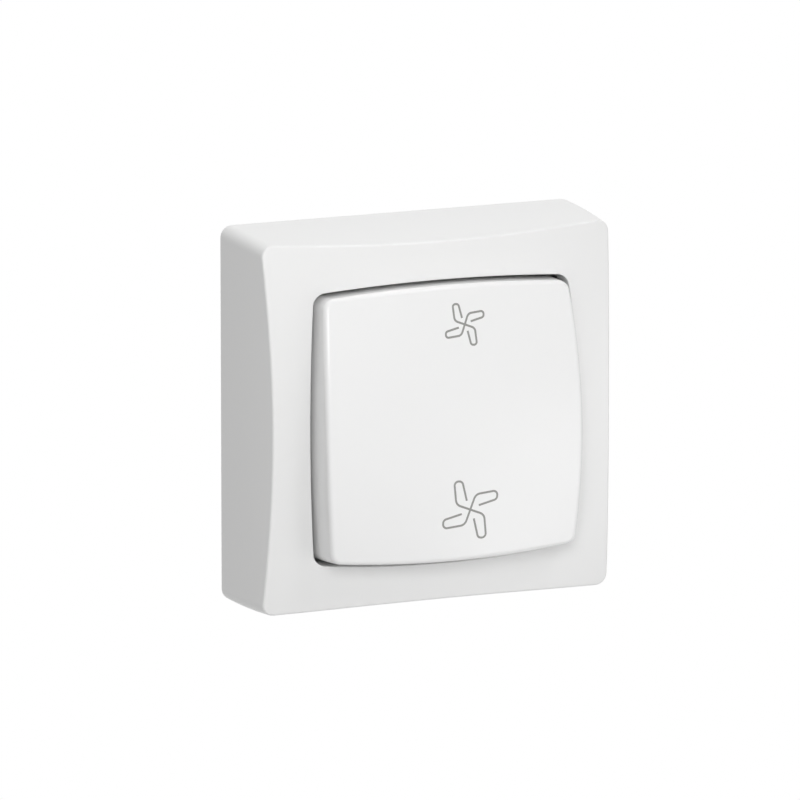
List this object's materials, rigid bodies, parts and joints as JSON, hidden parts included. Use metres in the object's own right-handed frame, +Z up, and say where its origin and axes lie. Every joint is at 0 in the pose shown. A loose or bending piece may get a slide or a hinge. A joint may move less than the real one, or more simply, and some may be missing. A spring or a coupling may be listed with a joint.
{
  "type": "ventilation control switch",
  "caption": "Surface-mounted ventilation speed switch: square crowned casing with a large rocker key marked with fan pictograms, over a complete change-over mechanism.",
  "frame": {"origin": "centre of the base plate's back, on the wall plane", "axes": "+Z up, +X to the right seen from the front, -Y out of the wall towards the user"},
  "size_m": [0.076, 0.031, 0.076],
  "materials": {
    "case_white": "glossy moulded",
    "key_white": "glossy moulded",
    "symbol_grey": "printed",
    "plate_white": "fine-grained moulded",
    "housing_grey": "moulded",
    "carrier_white": "moulded",
    "strip_brass": "stamped",
    "contact_silver": "pressed",
    "screw_steel": "zinc plated",
    "spring_steel": "drawn wire",
    "plunger_black": "moulded"
  },
  "bodies": {
    "base": {"outer_casing": "case_white", "base_plate": "plate_white", "contact_housing": "housing_grey", "contact_cover": "housing_grey", "common_terminal": "strip_brass", "low_speed_terminal": "strip_brass", "high_speed_terminal": "strip_brass", "low_speed_fixed_contact": "contact_silver", "high_speed_fixed_contact": "contact_silver", "common_clamp": "strip_brass", "low_speed_clamp": "strip_brass", "high_speed_clamp": "strip_brass", "terminal_screws": "screw_steel", "housing_screws": "screw_steel"},
    "rocker": {"rocker_key": "key_white", "low_speed_symbol": "symbol_grey", "high_speed_symbol": "symbol_grey", "rocker_carrier": "carrier_white", "plunger_spring": "spring_steel"},
    "plunger": {"plunger": "plunger_black"},
    "lever": {"contact_lever": "strip_brass", "upper_lever_contact": "contact_silver", "lower_lever_contact": "contact_silver"}
  },
  "joints": [
    {"name": "key_rock", "type": "hinge", "parent": "base", "child": "rocker", "pos_m": [0, -0.0185, 0], "axis": [1, 0, 0], "range_deg": [0, 8.6]},
    {"name": "plunger_slide", "type": "slide", "parent": "rocker", "child": "plunger", "axis": [0, -0.9972, 0.075], "range_m": [0, 0.0005], "stiffness_N_per_m": 400, "springref_m": -0.003, "deforming": ["plunger_spring"]},
    {"name": "lever_tip", "type": "hinge", "parent": "base", "child": "lever", "pos_m": [0, -0.0075, 0], "axis": [1, 0, 0], "range_deg": [-16, 0]}
  ],
  "couplings": [
    {"joint": "lever_tip", "follows": "key_rock", "ratio": -1.86}
  ]
}
